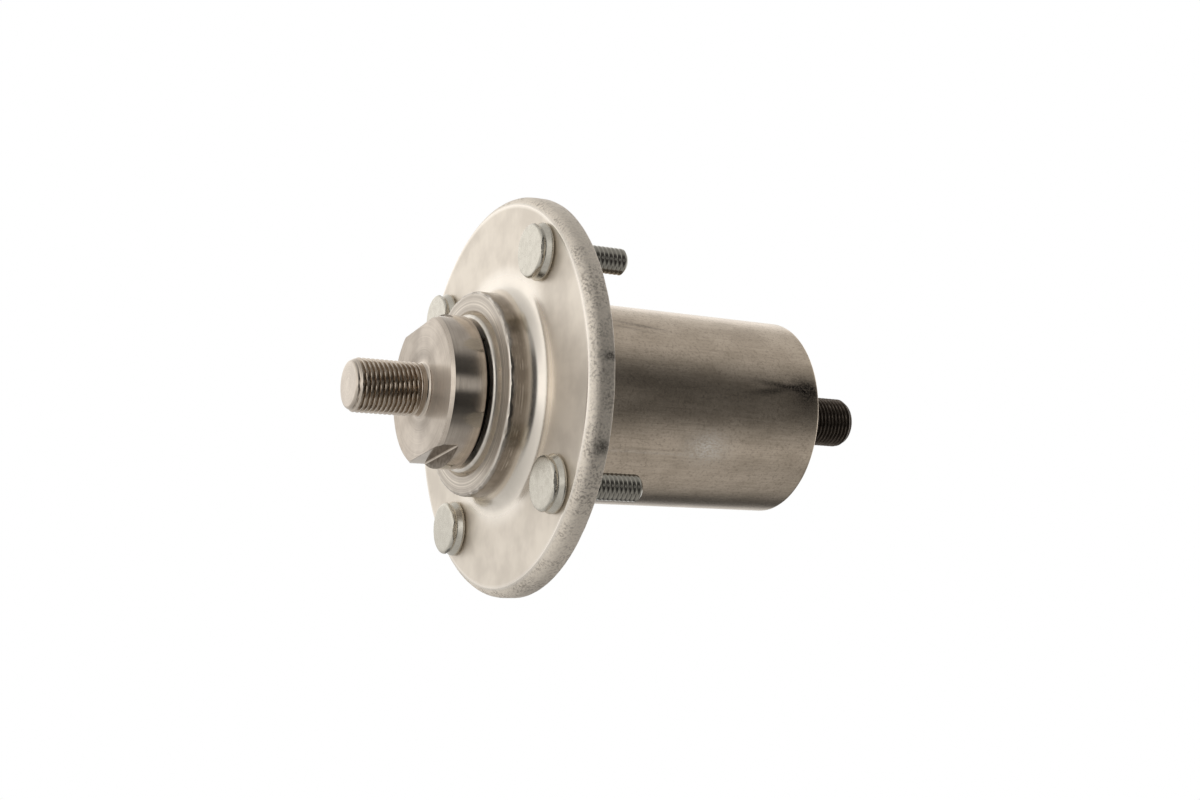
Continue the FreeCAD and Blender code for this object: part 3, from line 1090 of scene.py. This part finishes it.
    def sunk(self, points: np.ndarray) -> np.ndarray:
        """How far the casting's skin lies under its outline.

        The sum of noise fields, each times the share of the surface that shows it: grain and shallow dents
        on the rim, faint waves and grain on the tube, dents on the neck and a ragged edge where it was
        faced off.

        Args:
            points: Grid of places on the outline.

        Returns:
            Depth in mm for each point, never above the outline.
        """
        zones = self.zones(points)
        radius = np.hypot(points[..., 0], points[..., 1])
        edge = smooth(*self.ragged_fade, np.hypot(radius - self.neck_r, points[..., 2] - self.mouth_z))
        grain = lattice_noise(points, self.grain_cell, Relief.GRAIN)
        dents = lattice_noise(points, self.dent_cell, Relief.DENTS)
        waves = lattice_noise(points * np.array([1.0, 1.0, self.wave_squeeze]), self.wave_cell, Relief.WAVES)
        ragged = lattice_noise(points, self.ragged_cell, Relief.RAGGED)
        ragged = ragged * lattice_noise(points, self.break_cell, Relief.BREAKS)
        depth = zones[Trait.RIM] * (self.rim_grain * grain + self.rim_dents * dents)
        depth += zones[Trait.TUBE] * (self.tube_waves * waves + self.tube_grain * grain)
        depth += zones[Trait.NECK] * self.neck_dents * dents
        return depth + edge * self.ragged_depth * ragged

    def build(self) -> bpy.types.Object:
        """Turn the outline, sink its skin along the outline's normals and drill the bolt holes.

        Returns:
            The casting.
        """
        way = self.outline()
        along = np.roll(way, -1, axis=0) - np.roll(way, 1, axis=0)
        normal = np.stack([along[:, 1], -along[:, 0]], axis=1)
        normal /= np.linalg.norm(normal, axis=1, keepdims=True)
        angle = np.linspace(0.0, TAU, self.columns, endpoint=False)
        depth = self.sunk(turned(way[:, :1], way[:, 1:], angle))
        radius = way[:, :1] - depth * normal[:, :1]
        level = way[:, 1:] - depth * normal[:, 1:]
        piece = Skin.over(turned(radius, level, angle), ring=True).piece("housing_casting", self.sharp_deg)
        self.drill(piece)
        shade(piece, self.sharp_deg)
        return piece

    def drill(self, piece: bpy.types.Object) -> None:
        """Cut the bolt holes through the flange with four round cutters, and keep the cut mesh.

        Args:
            piece: The casting, whose mesh is replaced by the drilled one.
        """
        angle = np.linspace(0.0, TAU, self.hole_columns, endpoint=False)
        level = np.array([[-2.0 * self.flange_t], [self.flange_t]])
        cutter = Skin.over(turned(np.full((2, 1), self.bolt_hole_r), level, angle), ring=False)
        cutters = cutter.spread(self.circle.centres(), np.zeros(self.circle.count))
        cutters = cutters.piece("cutters", PLAIN_SHARP_DEG)
        cut = piece.modifiers.new("bolt_holes", "BOOLEAN")
        cut.operation = "DIFFERENCE"
        cut.solver = "EXACT"
        cut.object = cutters
        ready = piece.evaluated_get(bpy.context.evaluated_depsgraph_get())
        drilled = bpy.data.meshes.new_from_object(ready)
        piece.modifiers.clear()
        piece.data = drilled
        bpy.data.objects.remove(cutters)

    def dress(self, piece: bpy.types.Object) -> None:
        """Paint the zones and marks on the casting and give it its finish.

        Args:
            piece: The drilled casting.
        """
        points = places(piece)
        for trait, share in self.zones(points).items():
            paint(piece, trait, share)
        angle = np.degrees(np.arctan2(points[:, 1], points[:, 0]))
        radius = np.hypot(points[:, 0], points[:, 1])
        on_rim = radius > self.crease_r - self.mark_crease_margin
        on_wall = radius > self.neck_r - self.mark_wall_margin
        outside = on_wall & (on_rim | (points[:, 2] > self.mark_level))
        for trait in (Trait.SOOT, Trait.SCUFF):
            covers = [mark.cover(angle, points[:, 2]) for mark in self.marks if mark.trait is trait]
            paint(piece, trait, np.sum(covers, axis=0) * outside)
        piece.data.materials.append(CastAluminium().material())
        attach(piece, self.body)
        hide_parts(self.node)


@dataclass
class Shaft:
    """Turned shaft: blade thread, hub with two wrench flats, journal and pulley thread in one skin."""

    node: str = "spindle_shaft"
    body: str = "shaft"
    thread_r: float = 7.9375
    shank_neck_r: float = 7.45
    shank_neck_l: float = 2.2
    shank_fillet: float = 1.2
    tip_chamfer: float = 1.15
    tip_chamfer_l: float = 2.0
    tip_round: float = 0.8
    hub_r: float = 22.75
    hub_lower_z: float = -31.6
    hub_l: float = 10.8
    hub_chamfer: float = 1.0
    hub_edge_round: float = 0.08
    hub_back_chamfer: float = 0.2
    hub_back_round: float = 0.05
    across_flats: float = 38.1
    flat_l: float = 5.6
    flat_corner: float = 0.3
    step_row_gap: float = 0.02
    step_lift: float = 0.15
    stain_margin: float = 0.05
    face_margin: float = 0.05
    nut_print_r: float = 10.5
    nut_print_w: float = 1.8
    nut_print_strength: float = 0.28
    shoulder_r: float = 13.0
    shoulder_z: float = -19.1
    journal_r: float = 10.0
    journal_top_z: float = 88.2
    pulley_run_in: float = 2.0
    soot_fade: float = 1.0
    pole_r: float = 0.4
    flat_columns: int = 28
    round_columns: int = 50
    rows_per_pitch: int = 13
    sharp_deg: float = 35.0

    def __post_init__(self) -> None:
        """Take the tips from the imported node, and the thread from its size."""
        low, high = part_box(self.node)
        self.blade_tip_z = low.z / MM
        self.pulley_tip_z = high.z / MM
        self.thread = Thread(self.thread_r)

    def angles(self) -> np.ndarray:
        """Angles of the columns, evenly spread over the flats and over the round parts between them.

        Returns:
            Angles in radians, with a column on each edge of the flats.
        """
        edge = math.acos(self.across_flats / 2.0 / self.hub_r)
        flat = np.linspace(-edge, edge, self.flat_columns, endpoint=False)
        rounded = np.linspace(edge, math.pi - edge, self.round_columns, endpoint=False)
        half = np.concatenate([flat, rounded])
        return np.concatenate([half, half + math.pi])

    def outline(self) -> np.ndarray:
        """Outline of the shaft without its flats, from the blade tip up to the pulley tip.

        Returns:
            Radius and level of each point.
        """
        fine = self.thread.pitch / self.rows_per_pitch
        neck_z = self.hub_lower_z - self.shank_neck_l
        hub_upper_z = self.hub_lower_z + self.hub_l
        flat_z = self.hub_lower_z + self.flat_l
        tip_r = self.thread_r - self.tip_chamfer
        return trace([
            Corner(self.pole_r, self.blade_tip_z, step=1.2),
            Corner(tip_r, self.blade_tip_z, self.tip_round, step=fine),
            Corner(self.thread_r, self.blade_tip_z + self.tip_chamfer_l, step=fine),
            Corner(self.thread_r, neck_z - self.thread_r + self.shank_neck_r, step=fine),
            Corner(self.shank_neck_r, neck_z, step=0.2),
            Corner(self.shank_neck_r, self.hub_lower_z, self.shank_fillet, step=1.5),
            Corner(self.hub_r - self.hub_chamfer, self.hub_lower_z, self.hub_edge_round, step=0.6),
            Corner(self.hub_r, self.hub_lower_z + self.hub_chamfer, self.hub_edge_round, step=1.2),
            Corner(self.hub_r, flat_z - self.flat_corner, step=self.flat_corner),
            Corner(self.hub_r, flat_z, step=self.step_row_gap),
            Corner(self.hub_r, flat_z + self.step_row_gap, step=self.step_row_gap),
            Corner(self.hub_r, flat_z + 2.0 * self.step_row_gap, step=0.4),
            Corner(self.hub_r, hub_upper_z - self.hub_back_chamfer, self.hub_back_round, step=0.6),
            Corner(self.hub_r - self.hub_back_chamfer, hub_upper_z, self.hub_back_round, step=2.5),
            Corner(self.shoulder_r, hub_upper_z, step=2.0),
            Corner(self.shoulder_r, self.shoulder_z, step=3.0),
            Corner(self.journal_r, self.shoulder_z, step=12.0),
            Corner(self.journal_r, self.journal_top_z, step=2.0),
            Corner(self.thread_r, self.journal_top_z, step=fine),
            Corner(self.thread_r, self.pulley_tip_z - self.tip_chamfer_l, step=fine),
            Corner(tip_r, self.pulley_tip_z, self.tip_round, step=1.2),
            Corner(self.pole_r, self.pulley_tip_z),
        ], closed=False)

    def build(self) -> bpy.types.Object:
        """Turn the outline, cut the threads and flats into it, and paint what its finish reads.

        A point's radius is the least of the outline's radius, the thread's radius on the two threaded ends
        and, below the step of the flats, half the width across flats / |cos(angle)|. Painted are the oily
        grooves, the stained step of the flats, the nut's print, the black pulley end and the faced front.

        Returns:
            The shaft.
        """
        way = self.outline()
        angle = self.angles()
        level = way[:, 1:] + 0.0 * angle
        radius = way[:, :1] + 0.0 * angle
        half_gap = self.step_row_gap / 2.0
        neck_z = self.hub_lower_z - self.shank_neck_l
        ends = (level < neck_z) | (level > self.journal_top_z + half_gap)
        fade = smooth(neck_z, neck_z - self.thread.pitch, level)
        fade += smooth(self.journal_top_z, self.journal_top_z + self.pulley_run_in, level)
        share = self.thread.groove(angle, level) * fade * ends
        cut = np.minimum(radius, self.thread.radius(share))
        depth = np.where(ends, radius - cut, 0.0)
        radius = np.where(ends, cut, radius)
        above_step = level - self.hub_lower_z - self.flat_l
        flat_r = self.across_flats / 2.0 / np.maximum(np.abs(np.cos(angle)), LEAST_COS)
        in_hub = (level > self.hub_lower_z - half_gap) & (above_step < 3.0 * half_gap)
        lift = self.flat_corner * smooth(-half_gap, 0.0, above_step)
        lift += self.step_lift * smooth(0.0, self.step_row_gap, above_step)
        on_step = (above_step > half_gap) & (above_step < 5.0 * half_gap)
        stain = on_step & (radius > flat_r + self.stain_margin)
        radius = np.where(in_hub, np.minimum(radius, flat_r + lift), radius)
        piece = Skin.over(turned(radius, level, angle), ring=False).piece("turned_shaft", self.sharp_deg)
        faced = (np.abs(level - self.hub_lower_z) < self.face_margin) & (radius > self.shank_neck_r)
        from_print = (radius - self.nut_print_r) / self.nut_print_w
        nut_print = self.nut_print_strength * np.exp(-(from_print ** 2))
        soot = smooth(self.journal_top_z - self.soot_fade, self.journal_top_z + self.soot_fade, level)
        for trait, values, poles in (
            (Trait.GROOVE, depth / (self.thread.depth_share * self.thread.pitch), (0.0, 0.0)),
            (Trait.STAIN, np.maximum(stain, faced * nut_print), (0.0, 0.0)),
            (Trait.SOOT, soot, (0.0, 1.0)),
            (Trait.FACED, faced, (0.0, 0.0)),
        ):
            paint(piece, trait, np.append(values, poles))
        return piece

    def dress(self, piece: bpy.types.Object) -> None:
        """Give the shaft its finish and its place in the frame.

        Args:
            piece: The shaft.
        """
        piece.data.materials.append(TurnedSteel().material())
        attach(piece, self.body)
        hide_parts(self.node)


@dataclass
class FlangeBolts:
    """Four bolts: round head with six short flats, washer under it, neck in the hole, thread above it."""

    node: str = "mounting_bolts"
    body: str = "housing"
    circle: BoltCircle = BoltCircle()
    turns_deg: tuple[float, ...] = (11.0, 8.0, 16.0, 5.0)
    face_z: float = -7.0
    neck_r: float = 4.25
    thread_r: float = 3.95
    thread_depth_share: float = 0.05
    tip_chamfer: float = 0.9
    head_r: float = 7.95
    head_t: float = 1.5
    head_edge: float = 0.95
    head_bevel: float = 0.6
    bevel_round: float = 0.15
    flats: int = 6
    flat_r: float = 7.5
    waist_r: float = 7.3
    waist_round: float = 0.5
    washer_r: float = 8.4
    washer_rim_h: float = 1.2
    washer_round: float = 0.15
    washer_foot: float = 0.7
    foot_round: float = 0.2
    tip_round: float = 0.2
    pole_r: float = 0.3
    run_in_pitches: float = 0.8
    dirt_level: float = 0.05
    thread_dirt: float = 0.34
    root_dirt: float = 0.16
    tip_dirt: float = 0.4
    columns: int = 96
    rows_per_pitch: int = 11
    sharp_deg: float = 30.0

    def __post_init__(self) -> None:
        """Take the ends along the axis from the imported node, and the thread from its size."""
        low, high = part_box(self.node)
        self.head_z = low.z / MM
        self.tip_z = high.z / MM
        self.waist_z = self.head_z + self.head_t
        self.thread = Thread(self.thread_r, depth_share=self.thread_depth_share)

    def outline(self) -> np.ndarray:
        """Outline of one bolt without its flats, from the middle of the head's face up to the tip.

        Returns:
            Radius and level of each point.
        """
        fine = self.thread.pitch / self.rows_per_pitch
        return trace([
            Corner(self.pole_r, self.head_z, step=0.8),
            Corner(self.head_r, self.head_z, self.head_edge, step=0.1),
            Corner(self.head_r, self.waist_z - self.head_bevel, self.bevel_round, step=0.12),
            Corner(self.waist_r, self.waist_z, self.waist_round, step=0.3),
            Corner(self.washer_r, self.face_z - self.washer_rim_h, self.washer_round, step=0.2),
            Corner(self.washer_r, self.face_z - self.washer_foot, self.foot_round, step=0.2),
            Corner(self.washer_r - self.washer_foot, self.face_z, step=1.2),
            Corner(self.neck_r, self.face_z, step=2.5),
            Corner(self.neck_r, 0.0, step=0.1),
            Corner(self.thread_r, 0.0, step=fine),
            Corner(self.thread_r, self.tip_z - self.tip_chamfer, step=fine),
            Corner(self.thread_r - self.tip_chamfer, self.tip_z, self.tip_round, step=0.9),
            Corner(self.pole_r, self.tip_z),
        ], closed=False)

    def build(self) -> bpy.types.Object:
        """Turn the outline, cut the flats and the thread into it and set copies on the bolt circle.

        A point's radius is the least of the outline's radius, the thread's radius above the flange and,
        below the waist, half the width across flats / cos(angle from the middle of a flat). The thread is
        painted with dirt, more of it in the grooves.

        Returns:
            The four bolts in one piece.
        """
        way = self.outline()
        angle = np.linspace(0.0, TAU, self.columns, endpoint=False)
        level = way[:, 1:] + 0.0 * angle
        flat_turn = TAU / self.flats
        from_flat = np.abs(angle % flat_turn - flat_turn / 2.0)
        flat = np.where(level < self.waist_z, self.flat_r / np.cos(from_flat), np.inf)
        run_in = smooth(0.0, self.run_in_pitches * self.thread.pitch, level)
        share = self.thread.groove(angle, level) * run_in
        threaded = np.where(level > 0.0, self.thread.radius(share), np.inf)
        radius = np.minimum(np.minimum(way[:, :1], flat), threaded)
        bolt = Skin.over(turned(radius, level, angle), ring=False)
        piece = bolt.spread(self.circle.centres(), self.turns_deg).piece("flange_bolts", self.sharp_deg)
        dirt = np.where(level > self.dirt_level, self.thread_dirt + self.root_dirt * share, 0.0)
        paint(piece, Trait.GROOVE, np.tile(np.append(dirt, (0.0, self.tip_dirt)), self.circle.count))
        return piece

    def dress(self, piece: bpy.types.Object) -> None:
        """Give the bolts their finish and their place in the frame.

        Args:
            piece: The four bolts.
        """
        piece.data.materials.append(ZincPlate().material())
        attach(piece, self.body)
        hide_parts(self.node)


class Make(Enum):
    """What a piece of the bearings is made as."""

    RACE = "race"
    CAGE = "cage"
    BALL = "ball"
    SEAL = "seal"
    SPACER = "spacer"


@dataclass
class Bearings:
    """The two sealed ball bearings and the spacer between them, whose solids keep their shape."""

    spacer: str = "bearing_spacer"
    pieces: dict[str, Make] = field(default_factory=lambda: {
        "bearing_outer_race": Make.RACE,
        "bearing_inner_race": Make.RACE,
        "bearing_top_seal": Make.SEAL,
        "bearing_bottom_seal": Make.SEAL,
        "bearing_balls": Make.BALL,
        "cage_top_half": Make.CAGE,
        "cage_bottom_half": Make.CAGE,
        "cage_rivets": Make.CAGE,
    })
    finishes: dict[Make, BearingSteel | SealRubber] = field(default_factory=lambda: {
        Make.RACE: BearingSteel(
            "ground_race_steel", Working.GROUND, (0.84, 0.79, 0.72, 1.0), (0.66, 0.62, 0.56, 1.0), 0.34
        ),
        Make.CAGE: BearingSteel("pressed_cage_steel", Working.PRESSED, rough=0.34),
        Make.BALL: BearingSteel("polished_ball_steel", Working.POLISHED, rough=0.07),
        Make.SPACER: BearingSteel("drawn_spacer_steel", Working.DRAWN, rough=0.30),
        Make.SEAL: SealRubber(),
    })

    def dress(self, nodes: dict[str, bpy.types.Object]) -> None:
        """Give each node of the bearings and the spacer the finish of its make.

        Args:
            nodes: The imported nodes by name.
        """
        materials = {make: finish.material() for make, finish in self.finishes.items()}
        for side, (name, make) in itertools.product(Side, self.pieces.items()):
            self.coat(nodes[side.value + "_" + name], materials[make])
        self.coat(nodes[self.spacer], materials[Make.SPACER])

    @staticmethod
    def coat(node: bpy.types.Object, material: bpy.types.Material) -> None:
        """Put a material on a node in place of the one it came with."""
        node.data.materials.clear()
        node.data.materials.append(material)


class Room(Graph):
    """Node tree of the light all round, which reads the direction of each ray."""

    def __init__(self, tree: bpy.types.NodeTree) -> None:
        """Start from a world's own tree."""
        super().__init__(tree, "Background", "Generated")

    def along(self, way: Vector) -> bpy.types.NodeSocket:
        """How far a ray points along a direction, from -1 to 1."""
        return self.vector("DOT_PRODUCT", self.place, way).outputs["Value"]

    def ramp(self, value: object, steps: Ramp) -> bpy.types.NodeSocket:
        """Brightness read off a ramp.

        Args:
            value: What the ramp is read at, from -1 to 1.
            steps: Values in rising order, each with its brightness.

        Returns:
            The brightness.
        """
        node = self.add("ShaderNodeValToRGB")
        node.color_ramp.interpolation = "EASE"
        elements = node.color_ramp.elements
        while len(elements) < len(steps):
            elements.new(0.5)
        for element, (at, bright) in zip(elements, steps):
            element.position = at / 2.0 + 0.5
            element.color = (bright, bright, bright, 1.0)
        self.feed(node.inputs[0], self.plus(self.times(value, 0.5), 0.5))
        return node.outputs[0]

    def finish(self, bright: object, tint: tuple[float, float, float]) -> None:
        """Light the part with a brightness, and show plain white behind it.

        Args:
            bright: Brightness of each direction.
            tint: Colour of the light.
        """
        path = self.add("ShaderNodeLightPath")
        colour = self.vector("SCALE", tint)
        self.feed(colour.inputs["Scale"], bright)
        seen = self.blend(path.outputs["Is Camera Ray"], colour.outputs[0], (1.0, 1.0, 1.0, 1.0))
        self.set(Color=seen)


@dataclass
class Studio:
    """Camera at the photograph's angle, soft light all round and a pale floor well below the part.

    The spans of the room's light are taken over directions: -1 is straight away, 1 is straight along.
    """

    focal_px: float = 1635.3
    picture_px: tuple[float, float] = (1200.0, 800.0)
    aim_px: tuple[float, float] = (497.4, 396.1)
    aim_z: float = -7.0
    distance: float = 489.1
    tilt_deg: float = 28.46
    roll_deg: float = 4.63
    turn_deg: float = 14.4
    sensor: float = 36.0
    near_clip: float = 10.0
    floor_z: float = -620.0
    floor_r: float = 6000.0
    floor_t: float = 10.0
    floor_columns: int = 96
    floor_tone: Pattern = Pattern(900.0, 2.0, span=(0.3, 0.7, 0.0, 1.0))
    floor_dark: Colour = (0.90, 0.89, 0.875, 1.0)
    floor_light: Colour = (0.94, 0.935, 0.925, 1.0)
    floor_rough: float = 0.9
    floor_glow: float = 0.55
    blade_side: Ramp = (
        (-1.0, 0.42), (-0.86, 0.40), (-0.63, 0.15), (-0.45, 0.06), (-0.30, 0.035), (-0.10, 0.05),
        (0.10, 0.08), (0.45, 0.06), (0.66, 0.08), (0.85, 0.33), (1.0, 0.40),
    )
    pulley_side: Ramp = (
        (-1.0, 0.50), (-0.82, 0.56), (-0.62, 0.52), (-0.43, 0.36), (-0.22, 0.19), (-0.05, 0.10),
        (0.12, 0.06), (0.43, 0.05), (0.62, 0.09), (0.77, 0.23), (0.86, 0.33), (1.0, 0.40),
    )
    behind: Ramp = (
        (-1.0, 0.50), (-0.88, 0.42), (-0.78, 0.20), (-0.70, 0.08), (-0.58, 0.10), (-0.48, 0.45),
        (-0.35, 0.75), (-0.05, 1.1), (0.40, 1.1), (0.60, 0.66), (0.75, 0.50), (1.0, 0.42),
    )
    open_side: Ramp = (
        (-1.0, 0.52), (-0.80, 0.58), (-0.50, 0.64), (-0.20, 0.74), (-0.05, 0.88), (0.04, 1.1),
        (0.12, 1.2), (0.40, 1.12), (0.60, 0.85), (0.80, 0.70), (1.0, 0.60),
    )
    behind_span: Span = (-0.35, 0.25, 0.0, 1.0)
    open_span: Span = (-0.16, 0.04, 1.0, 0.0)
    pulley_span: Span = (0.42, 0.50, 0.0, 1.0)
    box_height: float = 0.17
    box_height_span: Span = (0.04, 0.26, 1.0, 0.0)
    box_bright_span: Span = (0.1, 0.8, 4.2, 0.45)
    box_left_span: Span = (-0.85, -0.5, 0.0, 1.0)
    box_pulley_span: Span = (0.41, 0.44, 1.0, 0.0)
    box_blade_span: Span = (0.18, 0.32, 0.0, 1.0)
    warm: tuple[float, float, float] = (1.0, 0.985, 0.96)

    def axes(self) -> tuple[Vector, Vector, Vector]:
        """The picture's right, up and forward directions in the part's frame.

        Seen from the camera, the blade direction is (-cos tilt cos roll, -cos tilt sin roll, -sin tilt)
        along right, down and forward. The two directions across it are turned about the axis by the turn.

        Returns:
            Right, up and forward.
        """
        tilt, roll, turn = (math.radians(value) for value in (self.tilt_deg, self.roll_deg, self.turn_deg))
        level = math.cos(tilt)
        blade = Vector((-level * math.cos(roll), -level * math.sin(roll), -math.sin(tilt)))
        near = Vector((-blade.z, 0.0, blade.x)).normalized()
        raised = blade.cross(near)
        raised_here = Vector((math.cos(turn), math.sin(turn), 0.0))
        near_here = Vector((-math.sin(turn), math.cos(turn), 0.0))
        blade_here = Vector((0.0, 0.0, -1.0))
        right, down, forward = (
            near_here * near_part + raised_here * raised_part + blade_here * blade_part
            for near_part, raised_part, blade_part in zip(near, raised, blade)
        )
        return right, -down, forward

    def build(self) -> None:
        """Set up the camera, the light and the floor."""
        right, up, forward = self.axes()
        self.camera(right, up, forward)
        self.light(right, up, forward)
        self.floor()
        bpy.context.scene.view_settings.view_transform = "Standard"

    def camera(self, right: Vector, up: Vector, forward: Vector) -> None:
        """Place the camera so that the middle of the flange's lower face falls on its pixel.

        Args:
            right: The picture's right.
            up: The picture's up.
            forward: The way that the camera looks.
        """
        lens = bpy.data.cameras.new("photo_camera")
        lens.sensor_width = self.sensor
        lens.lens = self.focal_px / self.picture_px[0] * self.sensor
        lens.clip_start = self.near_clip * MM
        across = (self.aim_px[0] - self.picture_px[0] / 2.0) / self.focal_px
        down = (self.aim_px[1] - self.picture_px[1] / 2.0) / self.focal_px
        aim = Vector((0.0, 0.0, self.aim_z)) * MM
        camera = bpy.data.objects.new("photo_camera", lens)
        turn = Matrix((right, up, -forward)).transposed()
        spot = aim - (forward + right * across - up * down) * (self.distance * MM)
        camera.matrix_world = Matrix.Translation(spot) @ turn.to_4x4()
        bpy.context.scene.collection.objects.link(camera)
        bpy.context.scene.camera = camera

    def light(self, right: Vector, up: Vector, forward: Vector) -> None:
        """Light the part from all round: dark in front, white behind and at the left, with a soft box.

        The brightness of a direction is a ramp over its height in the picture. The room in front has two
        ramps, towards the blade and towards the pulley, blended by how far the direction points along the
        shaft. A third takes over behind the part and a fourth at the open side on the left. The soft box is
        a product of smooth steps: about its height, dimmer to the right, and within its limits at the left,
        along the shaft and in front.

        Args:
            right: The picture's right.
            up: The picture's up.
            forward: The way that the camera looks.
        """
        world = bpy.data.worlds.new("studio")
        bpy.context.scene.world = world
        world.use_nodes = True
        room = Room(world.node_tree)
        height, depth, width = (room.along(way) for way in (up, forward, right))
        along_shaft = room.along(Vector((0.0, 0.0, 1.0)))
        is_behind = room.scaled(depth, self.behind_span)
        layers = (
            (room.scaled(along_shaft, self.pulley_span), self.pulley_side),
            (is_behind, self.behind),
            (room.scaled(width, self.open_span), self.open_side),
        )
        bright = room.ramp(height, self.blade_side)
        for share, steps in layers:
            bright = room.blend(share, bright, room.ramp(height, steps))
        off_height = room.maths("ABSOLUTE", room.maths("SUBTRACT", height, self.box_height))
        box = functools.reduce(room.times, (
            room.scaled(off_height, self.box_height_span),
            room.scaled(width, self.box_bright_span),
            room.scaled(width, self.box_left_span),
            room.scaled(along_shaft, self.box_pulley_span),
            room.scaled(along_shaft, self.box_blade_span),
            room.maths("SUBTRACT", 1.0, is_behind),
        ))
        room.finish(room.plus(bright, box), self.warm)

    def floor(self) -> None:
        """Lay a pale disc far below the part, which only the camera sees, so that the light stays soft."""
        angle = np.linspace(0.0, TAU, self.floor_columns, endpoint=False)
        level = np.array([[self.floor_z - self.floor_t], [self.floor_z]])
        disc = Skin.over(turned(np.full((2, 1), self.floor_r), level, angle), ring=False)
        floor = disc.piece("floor", PLAIN_SHARP_DEG)
        graph = FinishGraph("pale_floor")
        pale = graph.blend(graph.shown(self.floor_tone), self.floor_dark, self.floor_light)
        graph.set(Base_Color=pale, Roughness=self.floor_rough)
        graph.set(Emission_Color=pale, Emission_Strength=self.floor_glow)
        floor.data.materials.append(graph.material)
        floor.visible_glossy = False
        floor.visible_diffuse = False
        floor.visible_shadow = False


def main() -> None:
    """Build and dress every sub-assembly in turn."""
    logging.basicConfig(level=logging.INFO, format="%(name)s: %(message)s")
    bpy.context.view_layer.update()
    for assembly in (Housing(), Shaft(), FlangeBolts()):
        piece = assembly.build()
        assembly.dress(piece)
        LOG.info("%s stands for %s, %d faces", piece.name, assembly.node, len(piece.data.polygons))
    Bearings().dress(frame["nodes"])
    LOG.info("bearings and spacer dressed")
    Studio().build()


if __name__ == "__main__":
    main()
